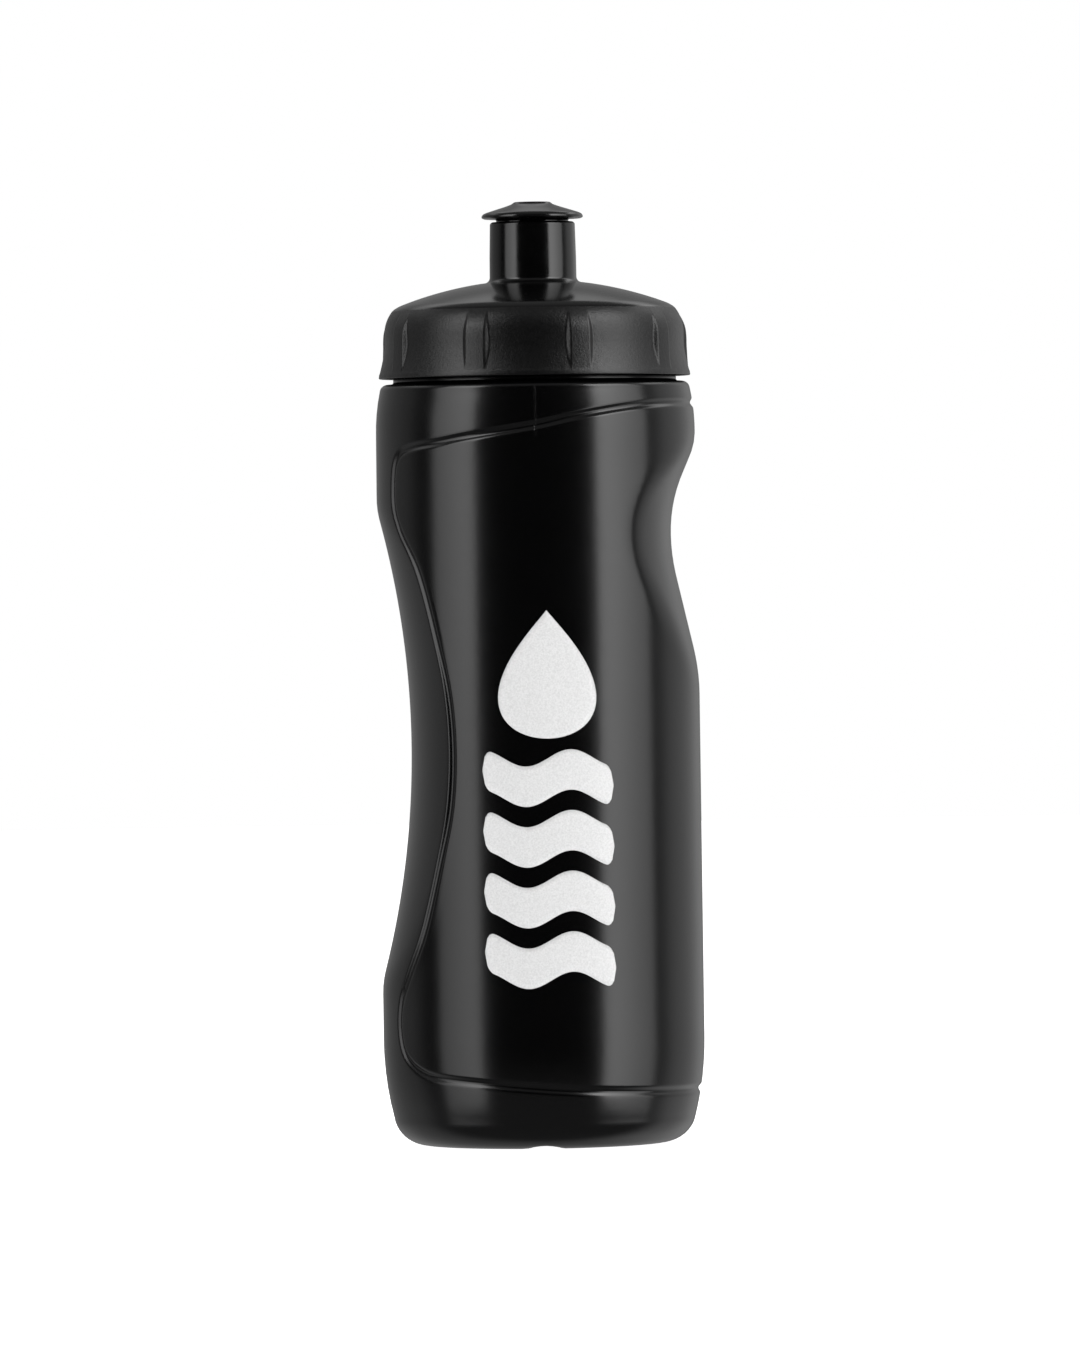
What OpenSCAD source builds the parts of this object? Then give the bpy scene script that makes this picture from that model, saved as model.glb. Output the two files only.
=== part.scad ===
// Sports squeeze bottle: a blown bottle with two hand grips, a screw cap with a valve tower,
// a flat seal ring and a push-pull mouthpiece.
// Z is up, the bottle stands on z = 0 with its axis on the Z axis.
// The front, where the decoration goes, faces -Y. The long thumb grip is on -X, the finger grip on +X.

/* [Body] */
// Radius of the straight part of the body
body_r = 37; // [36.5:0.1:37.5]
// Height where the straight foot of the body ends and its slight taper begins
straight_z = 36.5; // [34:0.5:36.8]
// Radius of the body just under the shoulder
upper_r = 36.75; // [36.5:0.05:37]
// Height of the flat shoulder under the cap
shoulder_z = 175.2; // [174.8:0.1:175.4]
// Thickness of the blown wall
wall = 1.2; // [0.9:0.1:1.4]
// Thickness of the base over the standing ring
base_wall = 1.5; // [1.2:0.1:2]
// Outer radius of the flat standing ring
ring_r = 27.4; // [27:0.1:27.8]
// Width of the flat standing ring
ring_w = 4; // [3:0.5:6]
// Height of the hollow in the middle of the base
pushup_h = 3.4; // [2.5:0.1:4.5]

/* [Thumb grip] */
// Height of the waist of the long grip
thumb_z = 92; // [88:0.5:95]
// Distance from the bottle's axis to the waist
thumb_waist = 29.5; // [29:0.1:32]
// Radius of the long curve above the waist, seen from the front
thumb_upper_curve = 208; // [200:0.5:215]
// Radius of the long curve below the waist
thumb_lower_curve = 202.5; // [190:0.5:215]
// Distance from the bottle's axis to the centre of the grip's round section
thumb_offset = 25.6; // [22:0.1:30]

/* [Finger grip] */
// Height of the waist of the short grip
finger_z = 140.5; // [138:0.5:142]
// Distance from the bottle's axis to the waist
finger_waist = 30.95; // [30.5:0.05:33]
// Radius of the curve above the waist
finger_upper_curve = 34; // [28:1:36]
// Radius of the curve below the waist
finger_lower_curve = 45; // [40:1:50]
// Distance from the bottle's axis to the centre of the grip's round section
finger_offset = 23.7; // [22:0.1:26]

/* [Neck and thread] */
// Outer radius of the neck between the threads
neck_r = 31.6; // [31.5:0.05:31.7]
// Inner radius of the neck
mouth_r = 29.8; // [29.4:0.1:30]
// Height of the neck's rim
rim_z = 187.35; // [187.2:0.05:187.4]
// Rise of the thread in one turn
pitch = 4.2; // [4:0.1:4.4]

/* [Cap] */
// Height of the cap's lower edge
cap_z = 176.5; // [176.4:0.1:176.9]
// Radius of the skirt in the hollows between the grip pads
skirt_r = 34.5; // [34.4:0.05:34.7]
// Number of raised grip pads
pads = 9; // [7:1:11]
// Angle that one pad takes
pad_angle = 7.4; // [6:0.2:10]
// Height of a pad over the hollows
pad_h = 0.8; // [0.6:0.05:1]
// Turn of the whole pad pattern about the axis
pad_turn = -2.5; // [-20:0.5:20]
// Thickness of the cap's domed top
cap_wall = 1.8; // [1.5:0.1:2]

/* [Valve] */
// Outer radius of the tower at its foot
tower_r = 10; // [9.9:0.05:10.2]
// Height of the tower's rim
tower_z = 212.3; // [212:0.1:212.6]
// Inner radius of the tower
tower_bore_r = 8.85; // [8.8:0.05:8.9]
// Inner radius of the lip that holds the mouthpiece in
lip_r = 8.4; // [8.4:0.05:8.5]
// Radius of the mouthpiece's stem
stem_r = 8.3; // [8.2:0.05:8.3]
// Radius of the mouthpiece's flange
flange_r = 11.68; // [11:0.02:12.4]
// Height of the mouthpiece's top, pushed shut
top_z = 216.9; // [216.8:0.1:217.2]
// Radius of the drinking hole
hole_r = 3.45; // [3.45:0.05:3.6]
// Radius of the head of the fixed pin that shuts the hole
pin_r = 3.35; // [3.3:0.01:3.35]

/* [Hidden] */
$fn = 96;
eps = 0.01;

// Base corner and the long flare of the lower body.
corner_r = 7.5;
flare_r = 72.3;
flare_top_z = 24;
flare_angle = 14.7;
taper_z = 105;
taper = 0.05;

// Shoulder: a long curve that ends in a tight corner.
shoulder_curve = 45.8;
shoulder_start_z = 164;
shoulder_corner = 1.8;
shoulder_corner_z = shoulder_z - shoulder_corner;
shoulder_angle = asin((shoulder_corner_z + 0.44 - shoulder_start_z) / shoulder_curve);
shoulder_corner_x = upper_r - shoulder_curve * (1 - cos(shoulder_angle)) - shoulder_corner * cos(shoulder_angle);

// Relief across the standing ring, under the parting line.
relief_h = 0.8;
relief_r = 11.7;

// Finger grip: where its two curves run out into straight flanks.
finger_upper_reach = 13.5;
finger_lower_reach = 10;
finger_top_z = finger_z + 23;
finger_bottom_z = finger_z - 35;
thumb_reach = 57;

// Thread on the neck and in the cap. Each profile is a trapezium.
thread_from_z = 180;
neck_crest_r = 32.9;
cap_root_r = 33.3;
cap_crest_r = 32;
thread_sink = 0.4;
thread_step = 9;
neck_turns = 1.4;
cap_turns = 1.25;
// The cap's thread lies under the neck's by less than half a turn's rise, bearing on its lower flank.
thread_lag = pitch / 2 - 0.35;

// Seal ring and its seat in the cap.
seat_z = 188.9;
seat_r = 32.95;
seat_inner_r = 28;
seal_gap = 0.05;
seal_outer_r = 32.7;
seal_inner_r = 28.8;
seal_bevel = 0.25;

// Cap's dome: a ball cap over a rounded shoulder.
dome_r = 85.6;
dome_centre_z = 113.42;
cap_shoulder_r = 9;
cap_shoulder_z = 186.6;
cap_corner_r = 31.05;
flare_from_z = 184;
flare_height = 7;
flare_out = 1.4;
pad_mid_z = 184.5;
pad_reach = 6.8;
pad_steps = 14;
foot_fillet = 1.3;

// Mouthpiece stem and the bead that stops it under the tower's lip.
stem_bottom_z = 201.6;
stem_inner_r = 6.9;
bead_r = 8.75;
bead_top_z = 204.2;
lip_bottom_z = 210.8;
web_z = 196.8;
web_h = 2.2;
web_arm_w = 1.6;
web_arms = 3;

function arc(cx, cz, r, from, to, steps) =
    [for (i = [0:steps]) let (a = from + (to - from) * i / steps) [cx + r * cos(a), cz + r * sin(a)]];

// Distance from the axis to each grip's surface, straight across its middle.
function arc_rise(r, reach) = r - sqrt(r * r - reach * reach);
function arc_slope(r, reach) = reach / sqrt(r * r - reach * reach);
function thumb_limb(z) = thumb_waist + arc_rise(z > thumb_z ? thumb_upper_curve : thumb_lower_curve, z - thumb_z);
function flank(t, r, reach) =
    t < reach ? arc_rise(r, t) : arc_rise(r, reach) + arc_slope(r, reach) * (t - reach);
function finger_limb(z) = finger_waist + (z > finger_z
    ? flank(z - finger_z, finger_upper_curve, finger_upper_reach)
    : flank(finger_z - z, finger_lower_curve, finger_lower_reach));

// Outline of the lower body, inset by t from its outer face.
function lower_side(t) = concat(
    arc(ring_r, corner_r, corner_r - t, -90, -flare_angle, 8),
    arc(body_r - flare_r, flare_top_z, flare_r - t, -flare_angle + 1.5, 0, 8),
    [[body_r - t, straight_z], [body_r - taper - t, taper_z]]);
function upper_side(t) = concat(
    arc(upper_r - shoulder_curve, shoulder_start_z, shoulder_curve - t, 0, shoulder_angle, 5),
    arc(shoulder_corner_x, shoulder_corner_z, shoulder_corner - t, shoulder_angle + 8, 90, 6));

module body_outside() {
    rotate_extrude() polygon(concat(
        [[0, pushup_h], [12, pushup_h - 0.3], [ring_r - ring_w - 3.4, pushup_h - 1.1]],
        [[ring_r - ring_w - 0.9, 0.6], [ring_r - ring_w, 0]],
        lower_side(0),
        upper_side(0),
        [[neck_r + 1, shoulder_z], [neck_r + 1, shoulder_z + 1.4], [neck_r, shoulder_z + 2.2]],
        [[neck_r, rim_z - 0.4], [neck_r - 0.4, rim_z], [0, rim_z]]));
}

module cavity() {
    rotate_extrude() polygon(concat(
        [[0, pushup_h + base_wall], [12, pushup_h + base_wall - 0.3]],
        [[ring_r - ring_w - 2.6, pushup_h + base_wall - 1.1], [ring_r - ring_w + 0.2, base_wall]],
        [[ring_r, base_wall]],
        [for (p = lower_side(wall)) if (p[1] > base_wall + 0.2) p],
        upper_side(wall),
        [[mouth_r + 0.6, shoulder_z - wall], [mouth_r, shoulder_z - wall + 0.6]],
        [[mouth_r, rim_z + eps], [0, rim_z + eps]]));
}

// Everything outside a waisted turned form whose axis stands off the bottle's own.
module grip_cut(offset, limbs) {
    beyond = body_r + 3 * abs(offset);
    translate([offset, 0, 0])
        rotate_extrude() polygon(concat(limbs, [
            [beyond, limbs[len(limbs) - 1][1]], [beyond, limbs[0][1]]]));
}

module thumb_grip(t) {
    steps = 24;
    grip_cut(thumb_offset, [for (i = [0:steps])
        let (z = thumb_z - thumb_reach + 2 * thumb_reach * i / steps)
        [thumb_limb(z) + thumb_offset - t, z]]);
}

module finger_grip(t) {
    steps = 24;
    grip_cut(-finger_offset, [for (i = [0:steps])
        let (z = finger_bottom_z + (finger_top_z - finger_bottom_z) * i / steps)
        [finger_limb(z) + finger_offset - t, z]]);
}

// A trapezoidal ridge swept along a helix. It sinks into its wall at both ends.
module helix_ridge(wall_r, crest_r, root_w, crest_w, from_z, turns) {
    outward = crest_r > wall_r ? 1 : -1;
    steps = round(turns * 360 / thread_step);
    run_out = 4;
    points = [for (i = [0:steps])
        let (a = i * thread_step,
             z = from_z + pitch * a / 360,
             full = min(1, i / run_out, (steps - i) / run_out),
             crest = wall_r - outward * 0.15 + (crest_r - wall_r + outward * 0.15) * full,
             root = wall_r - outward * thread_sink)
        each [for (p = [[root, -root_w / 2], [crest, -crest_w / 2], [crest, crest_w / 2], [root, root_w / 2]])
            [p[0] * cos(a), p[0] * sin(a), z + p[1]]]];
    sides = [for (i = [0:steps - 1], k = [0:3])
        let (a = 4 * i + k, b = 4 * i + (k + 1) % 4)
        each [[a, b, b + 4], [a, b + 4, a + 4]]];
    ends = [[3, 2, 1, 0], [4 * steps, 4 * steps + 1, 4 * steps + 2, 4 * steps + 3]];
    faces = concat(sides, ends);
    polyhedron(points, outward > 0 ? faces : [for (f = faces) [for (i = [len(f) - 1:-1:0]) f[i]]]);
}

module bottle() {
    color("#161617")
        difference() {
            union() {
                difference() {
                    body_outside();
                    thumb_grip(0);
                    finger_grip(0);
                    translate([0, 0, relief_h - relief_r])
                        rotate([90, 0, 0]) cylinder(r = relief_r, h = 4 * body_r, center = true);
                }
                helix_ridge(neck_r, neck_crest_r, 2.6, 0.9, thread_from_z, neck_turns);
            }
            difference() {
                cavity();
                thumb_grip(wall);
                finger_grip(wall);
            }
        }
}

module seal_ring() {
    low = rim_z + seal_gap;
    high = seat_z - seal_gap;
    b = seal_bevel;
    color("gainsboro")
        rotate_extrude() polygon([
            [seal_inner_r, low + b], [seal_inner_r + b, low], [seal_outer_r - b, low], [seal_outer_r, low + b],
            [seal_outer_r, high - b], [seal_outer_r - b, high], [seal_inner_r + b, high], [seal_inner_r, high - b]]);
}

// Radius of the skirt in its hollows, and on its pads.
function skirt_radius(z) = z > cap_shoulder_z
    ? skirt_r - cap_shoulder_r + sqrt(pow(cap_shoulder_r, 2) - pow(z - cap_shoulder_z, 2))
    : skirt_r + flare_out * pow(max(0, flare_from_z - z) / flare_height, 1.5);
function pad_radius(z) = skirt_radius(z) + pad_h * max(0, 1 - pow((z - pad_mid_z) / pad_reach, 2));
function dome_height(r, t) = dome_centre_z + sqrt(pow(dome_r - t, 2) - r * r);

module cap_turned() {
    foot_r = tower_r + foot_fillet;
    rotate_extrude() polygon(concat(
        [[cap_root_r + 1.1, cap_z], [skirt_radius(cap_z) - 0.2, cap_z]],
        [[skirt_radius(cap_z + 0.2), cap_z + 0.2]],
        [for (i = [0:pad_steps]) let (z = pad_mid_z + pad_reach * (2 * i / pad_steps - 1)) [pad_radius(z), z]],
        [for (r = [cap_corner_r + 0.2:-2.5:foot_r + 2]) [r, dome_height(r, 0)]],
        arc(foot_r, dome_height(foot_r, 0) + foot_fillet, foot_fillet, -100, -180, 5),
        [[tower_r, 205], [tower_r - 0.1, 209.5], [tower_r - 0.2, tower_z - 0.5]],
        [[tower_r - 0.55, tower_z], [lip_r + 0.5, tower_z], [lip_r, tower_z - 0.5], [lip_r, lip_bottom_z]],
        [[tower_bore_r, lip_bottom_z - 0.1]],
        [for (r = [tower_bore_r, 14, 18, 22, 26.6]) [r, dome_height(r, cap_wall)]],
        [[seat_inner_r, seat_z], [seat_r, seat_z], [seat_r, rim_z], [cap_root_r, rim_z - 0.35]],
        [[cap_root_r, cap_z + 1.2]]));
}

module pad_hollows() {
    period = 360 / pads;
    low = pad_mid_z - pad_reach + 0.2;
    high = pad_mid_z + pad_reach;
    for (i = [0:pads - 1])
        rotate([0, 0, -90 + pad_turn + i * period - (period - pad_angle) / 2])
            rotate_extrude(angle = period - pad_angle) polygon(concat(
                [for (k = [0:pad_steps]) let (z = low + (high - low) * k / pad_steps) [skirt_radius(z), z]],
                [[skirt_r + 5, high], [skirt_r + 5, low]]));
}

// Fixed pin that shuts the drinking hole, on a web of arms across the tower.
module valve_pin() {
    head_z = top_z - 0.9;
    rotate_extrude() polygon([
        [0, web_z], [3, web_z], [3, web_z + web_h], [2.4, web_z + web_h + 0.8], [2.3, head_z - 2.8],
        [pin_r, head_z - 1.8], [pin_r, head_z], [pin_r - 0.6, head_z + 0.5], [1.6, head_z + 0.72],
        [0, head_z + 0.78]]);
    for (i = [0:web_arms - 1])
        rotate([0, 0, 90 + i * 360 / web_arms])
            translate([1, -web_arm_w / 2, web_z]) cube([tower_bore_r - 0.5, web_arm_w, web_h]);
}

module screw_cap() {
    color("#1a1a1b") {
        difference() {
            cap_turned();
            pad_hollows();
        }
        valve_pin();
        helix_ridge(cap_root_r, cap_crest_r, 2.4, 0.8, thread_from_z - thread_lag, cap_turns);
    }
}

module mouthpiece() {
    color("#0e0e0f")
        rotate_extrude() polygon([
            [hole_r, top_z - 0.2], [hole_r + 0.2, top_z], [4, top_z], [4.35, top_z - 0.3], [5.6, top_z - 0.85],
            [8, top_z - 1.7], [flange_r - 0.4, top_z - 2.85], [flange_r, top_z - 3.2], [flange_r, top_z - 3.6],
            [flange_r - 0.4, top_z - 3.9], [stem_r, top_z - 3.9], [stem_r, bead_top_z], [bead_r, bead_top_z - 0.5],
            [bead_r, bead_top_z - 1.5], [stem_r, stem_bottom_z], [stem_inner_r + 0.4, stem_bottom_z],
            [stem_inner_r, stem_bottom_z + 0.4], [stem_inner_r, top_z - 4.2], [hole_r + 0.3, top_z - 2.6],
            [hole_r, top_z - 2.4]]);
}

bottle();
seal_ring();
screw_cap();
mouthpiece();
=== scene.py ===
"""Sports squeeze bottle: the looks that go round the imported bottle, cap and mouthpiece."""

import math

import bmesh
import bpy
import numpy as np
from bpy.props import FloatProperty, FloatVectorProperty, IntProperty, PointerProperty
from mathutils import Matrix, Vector


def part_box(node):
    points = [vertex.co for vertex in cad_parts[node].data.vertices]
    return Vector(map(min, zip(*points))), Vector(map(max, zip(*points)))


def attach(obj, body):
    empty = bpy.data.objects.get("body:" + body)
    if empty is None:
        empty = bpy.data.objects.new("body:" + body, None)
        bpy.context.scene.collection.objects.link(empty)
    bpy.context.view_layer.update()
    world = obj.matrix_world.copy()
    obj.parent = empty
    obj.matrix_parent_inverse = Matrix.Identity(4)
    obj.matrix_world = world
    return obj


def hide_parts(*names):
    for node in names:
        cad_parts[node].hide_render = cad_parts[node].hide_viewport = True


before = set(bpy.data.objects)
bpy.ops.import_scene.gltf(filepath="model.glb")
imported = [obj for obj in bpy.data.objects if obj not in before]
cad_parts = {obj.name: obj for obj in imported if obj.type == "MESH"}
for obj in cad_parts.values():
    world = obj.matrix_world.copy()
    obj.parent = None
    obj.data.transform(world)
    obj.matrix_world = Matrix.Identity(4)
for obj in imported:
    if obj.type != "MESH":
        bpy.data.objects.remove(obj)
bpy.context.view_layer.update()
MM = 0.001

bl_info = {
    "name": "Sports squeeze bottle",
    "version": (1, 0, 0),
    "blender": (4, 5, 0),
    "location": "3D View > Sidebar > Bottle",
    "description": "Builds a soft black bottle with hand grips, its ribbed cap and its push-pull mouthpiece",
    "category": "Object",
}

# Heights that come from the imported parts, in millimetres like all sizes below.
CAP_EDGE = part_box("screw_cap")[0][2] / MM
SPOUT_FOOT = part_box("mouthpiece")[0][2] / MM
SPOUT_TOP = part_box("mouthpiece")[1][2] / MM
PIN_HEAD = SPOUT_TOP - 0.9

# The bottle's foot and neck.
RING_RADIUS = 27.4
FOOT_ROUND = 7.5
PUSH_UP = 3.4
RELIEF_RADIUS = 11.7
RELIEF_HEIGHT = 0.8
RELIEF_HALF = 4.25
NECK_RADIUS = 31.6
COLLAR_RADIUS = 32.6
MOUTH_RADIUS = 29.8
RIM_HEIGHT = 187.35
PITCH = 4.2

# Where the shaped skin starts and ends, and how far its rings stay with the groove on each side of it.
SKIN_FOOT = 6.0
SKIN_TOP = 173.7
GROOVE_BAND = 2.6
# The parting line: its angle, half its width in degrees, its height over the skin and where it starts.
SEAM_ANGLE = 90
SEAM_HALF = 0.4
SEAM_RISE = 0.12
SEAM_FROM = 161.5

# Angle round the bottle from +X in degrees, and height, of the groove that rims the panel. It runs from
# the finger grip's side over the front to the thumb grip, down beside that, and back under it.
GROOVE_LINE = [
    (0, 170.1), (30, 170.1), (52, 169.3), (73, 167.4), (91, 165), (116, 162.7), (127, 161.6), (137, 160.9),
    (143, 160.3), (147.5, 159.4), (150.3, 157.9), (152.2, 155.6), (153, 152), (152.7, 147), (148.6, 141.3),
    (138, 131.8), (129.5, 116), (124.5, 104), (122.8, 91), (124.2, 78), (129, 66), (137, 50), (146, 39.8),
    (151.5, 34), (153.3, 28.5), (151.3, 23.2), (147, 20), (140.5, 17.8), (132, 16.5), (107, 15), (82, 13.7),
    (60, 13), (30, 12.5), (0, 12.3),
]
# Points of that line at which the top turns into the side, and the side into the foot.
TOP_CORNER = 10
FOOT_CORNER = 25
LINE_STEPS = 8

# The cap, its tower and its web.
DOME_RADIUS = 85.6
DOME_CENTRE = 113.42
CAP_WALL = 1.8
CAP_ROUND = 9
CAP_ROUND_FROM = 186.6
FLARE_FROM = 184
FLARE_HEIGHT = 7
FLARE_OUT = 1.4
PAD_MIDDLE = 184.5
PAD_REACH = 7
GLOSS_FROM = 192.1
GLOSS_CORNER = (31.2, 191)
THREAD_ROOM = 33.3
SEAT_RADIUS = 32.95
SEAT_HEIGHT = 188.9
TOWER_HEIGHT = 212.3
TOWER_BORE = 8.85
TOWER_LIP = 8.4
WEB_FOOT = 196.8
WEB_HEIGHT = 2.2
WEB_ARMS = 3

# The print: its middle and width across the front, its thickness, and the heights of its waves.
PRINT_MIDDLE = 1.9
PRINT_WIDTH = 30.6
PRINT_PROUD = 0.05
PRINT_THICKNESS = 0.09
WAVE_HEIGHTS = (43.4, 57.2, 71.0, 84.8)
DROP_HEIGHT = 105.4

# Softboxes: azimuth of the face's middle from the camera's side, width in metres, share of the light,
# and how much of it is left at the outer edge and at the foot.
SOFTBOXES = (
    ("left_softbox", -61.5, 0.74, 1.1, 0.55, 0.72),
    ("right_softbox", 65, 0.94, 1.5, 0.45, 0.8),
)
SOFTBOX_DISTANCE = 1.2
SOFTBOX_LOW = -0.5
SOFTBOX_HIGH = 1.5
# How far right of the bottle's axis the camera and its aim stand, and the height it aims at, in metres.
VIEW_SHIFT = 0.00026
AIM_HEIGHT = 0.10785


# ---------------------------------------------------------------- sizes and colours


class BottleSettings(bpy.types.PropertyGroup):
    radius: FloatProperty(
        name="Radius", description="Radius of the straight part of the body",
        default=0.037, subtype="DISTANCE")
    upper_radius: FloatProperty(
        name="Upper radius", description="Radius just under the shoulder",
        default=0.03675, subtype="DISTANCE")
    shoulder_height: FloatProperty(
        name="Shoulder height", description="Height of the flat shoulder",
        default=0.1752, subtype="DISTANCE")
    wall: FloatProperty(
        name="Wall", description="Thickness of the blown wall",
        default=0.0012, subtype="DISTANCE")
    thumb_height: FloatProperty(
        name="Thumb grip height", description="Height of the long grip's waist",
        default=0.092, subtype="DISTANCE")
    thumb_waist: FloatProperty(
        name="Thumb grip waist", description="Distance from the axis to the long grip's waist",
        default=0.0296, subtype="DISTANCE")
    finger_height: FloatProperty(
        name="Finger grip height", description="Height of the short grip's waist",
        default=0.1402, subtype="DISTANCE")
    finger_waist: FloatProperty(
        name="Finger grip waist", description="Distance from the axis to the short grip's waist",
        default=0.0309, subtype="DISTANCE")
    groove_depth: FloatProperty(
        name="Groove depth", description="Depth of the groove round the panel",
        default=0.0006, subtype="DISTANCE")
    groove_width: FloatProperty(
        name="Groove width", description="Width of the groove, with its rounded lips",
        default=0.0026, subtype="DISTANCE")
    colour: FloatVectorProperty(
        name="Colour", description="Colour of the soft plastic",
        default=(0.0009, 0.0009, 0.001), subtype="COLOR", size=3, min=0, max=1)
    ink: FloatVectorProperty(
        name="Ink", description="Colour of the printed ink",
        default=(0.66, 0.66, 0.66), subtype="COLOR", size=3, min=0, max=1)


class CapSettings(bpy.types.PropertyGroup):
    pads: IntProperty(
        name="Pads", description="Number of raised grip pads", default=9, min=3, max=24)
    pad_angle: FloatProperty(
        name="Pad angle", description="Angle that one pad takes",
        default=math.radians(7.4), subtype="ANGLE")
    pad_height: FloatProperty(
        name="Pad height", description="Height of a pad over the hollows",
        default=0.0008, subtype="DISTANCE")
    pad_turn: FloatProperty(
        name="Pad turn", description="Turn of the pads about the axis",
        default=math.radians(-2.5), subtype="ANGLE")
    skirt_radius: FloatProperty(
        name="Skirt radius", description="Radius in the hollows",
        default=0.0345, subtype="DISTANCE")
    tower_radius: FloatProperty(
        name="Tower radius", description="Radius of the tower at its foot",
        default=0.01, subtype="DISTANCE")
    colour: FloatVectorProperty(
        name="Colour", description="Colour of the cap's plastic",
        default=(0.0012, 0.0012, 0.0013), subtype="COLOR", size=3, min=0, max=1)


class MouthpieceSettings(bpy.types.PropertyGroup):
    flange_radius: FloatProperty(
        name="Flange radius", description="Radius of the flange to pull on",
        default=0.01168, subtype="DISTANCE")
    stem_radius: FloatProperty(
        name="Stem radius", description="Radius of the stem",
        default=0.0083, subtype="DISTANCE")
    colour: FloatVectorProperty(
        name="Colour", description="Colour of the mouthpiece",
        default=(0.0012, 0.0012, 0.0013), subtype="COLOR", size=3, min=0, max=1)


class StageSettings(bpy.types.PropertyGroup):
    camera_distance: FloatProperty(
        name="Camera distance", description="Distance from the camera to the bottle's axis",
        default=2.5506, subtype="DISTANCE")
    eye_height: FloatProperty(
        name="Eye height", description="Height of the camera over the floor",
        default=0.1365, subtype="DISTANCE")
    lens: FloatProperty(
        name="Lens", description="Focal length of the camera in millimetres", default=295.0)
    roll: FloatProperty(
        name="Roll", description="Turn of the camera about its line of sight",
        default=math.radians(0.84), subtype="ANGLE")
    light: FloatProperty(
        name="Light", description="Brightness of the two softboxes' faces", default=2.7)
    fill_power: FloatProperty(
        name="Fill power", description="Power of the light from the front, which doesn't show in gloss",
        default=0.5, unit="POWER")


# ---------------------------------------------------------------- shared makers


def arc(x, z, radius, start, end, steps):
    """Points of an arc in a turned outline, by angles in degrees."""
    angles = [math.radians(start + (end - start) * i / steps) for i in range(steps + 1)]
    return [(x + radius * math.cos(a), z + radius * math.sin(a)) for a in angles]


def line(start, end, steps):
    """Evenly spaced points after the start of a straight stretch, up to its end."""
    return [
        (start[0] + (end[0] - start[0]) * i / steps, start[1] + (end[1] - start[1]) * i / steps)
        for i in range(1, steps + 1)
    ]


def rounded(points, radius, steps=4):
    """An outline with its inner corners rounded, each by no more than its neighbours leave room for."""
    out = [points[0]]
    for before, here, after in zip(points, points[1:], points[2:]):
        a, b, c = Vector(before), Vector(here), Vector(after)
        reach = min(radius, (a - b).length * 0.45, (c - b).length * 0.45)
        start, end = b + (a - b).normalized() * reach, b + (c - b).normalized() * reach
        for i in range(steps + 1):
            t = i / steps
            out.append(tuple(start * (1 - t) ** 2 + b * 2 * t * (1 - t) + end * t * t))
    return out + [points[-1]]


def stretches(*counts):
    """Places from 0 up to the number of stretches, each of which is cut into its own number of steps."""
    cuts = [np.linspace(i, i + 1, count + 1)[:-1] for i, count in enumerate(counts)]
    return np.concatenate(cuts + [[float(len(counts))]])


def lattice(rows, columns):
    """A spun tube of unit radius with one ring at each whole height, for a turned form to be shaped from."""
    bm = bmesh.new()
    chain = [bm.verts.new((1, 0, i)) for i in range(rows)]
    edges = [bm.edges.new(pair) for pair in zip(chain, chain[1:])]
    bmesh.ops.spin(
        bm, geom=chain + edges, cent=(0, 0, 0), axis=(0, 0, 1), dvec=(0, 0, 0), angle=math.tau, steps=columns,
        use_merge=True, use_normal_flip=False, use_duplicate=False)
    return bm


def shaped(bm, columns, x, y, z):
    """Moves every vertex of a lattice to its own place in the arrays, given in millimetres."""
    step = math.tau / columns
    for v in bm.verts:
        i = round(v.co.z)
        j = round(math.atan2(v.co.y, v.co.x) / step) % columns
        v.co = (x[i, j] * MM, y[i, j] * MM, z[i, j] * MM)
    bmesh.ops.remove_doubles(bm, verts=bm.verts, dist=1e-7)
    bmesh.ops.recalc_face_normals(bm, faces=bm.faces)


def turned(outline, columns=96, closed=False):
    """A plain turned form from its outline in millimetres."""
    points = outline + outline[:1] if closed else outline
    bm = lattice(len(points), columns)
    angle = np.arange(columns) * math.tau / columns
    radius = np.array([p[0] for p in points])[:, None]
    height = np.array([p[1] for p in points])[:, None] + 0 * angle
    shaped(bm, columns, radius * np.cos(angle), radius * np.sin(angle), height)
    return bm


def thread(root, crest, root_width, crest_width, start_height, turns):
    """One helical ridge, spun with a rise, that drops to its wall at both ends."""
    steps = round(turns * 48)
    middle = (root + crest) / 2
    middle_half = (root_width + crest_width) / 4 + 0.1
    section = [
        (root, -root_width / 2), (middle, -middle_half), (crest, -crest_width / 2),
        (crest, crest_width / 2), (middle, middle_half), (root, root_width / 2)]
    bm = bmesh.new()
    ring = [bm.verts.new((r * MM, 0, (start_height + h) * MM)) for r, h in section]
    face = bm.faces.new(ring)
    bmesh.ops.spin(
        bm, geom=[face] + list(face.edges) + ring, cent=(0, 0, 0), axis=(0, 0, 1),
        dvec=(0, 0, PITCH * turns * MM / steps), angle=math.tau * turns, steps=steps, use_merge=False,
        use_normal_flip=False, use_duplicate=False)
    # A vertex's height stands for how far along the ridge it lies. The ridge's own width blurs that, so one
    # flank drops early and the other stays blunt up to the end.
    for v in bm.verts:
        radius = math.hypot(v.co.x, v.co.y)
        along = (v.co.z / MM - start_height) / (PITCH * turns)
        full = min(1.0, max(0.0, along + 0.02) * 10, max(0.0, 1.02 - along) * 10)
        new = root * MM + (radius - root * MM) * full
        v.co.x *= new / radius
        v.co.y *= new / radius
    bmesh.ops.recalc_face_normals(bm, faces=bm.faces)
    return bm


def joined(*parts):
    """Puts several closed shells into one bmesh."""
    whole = parts[0]
    for part in parts[1:]:
        mesh = bpy.data.meshes.new("joining")
        part.to_mesh(mesh)
        part.free()
        whole.from_mesh(mesh)
        bpy.data.meshes.remove(mesh)
    return whole


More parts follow.
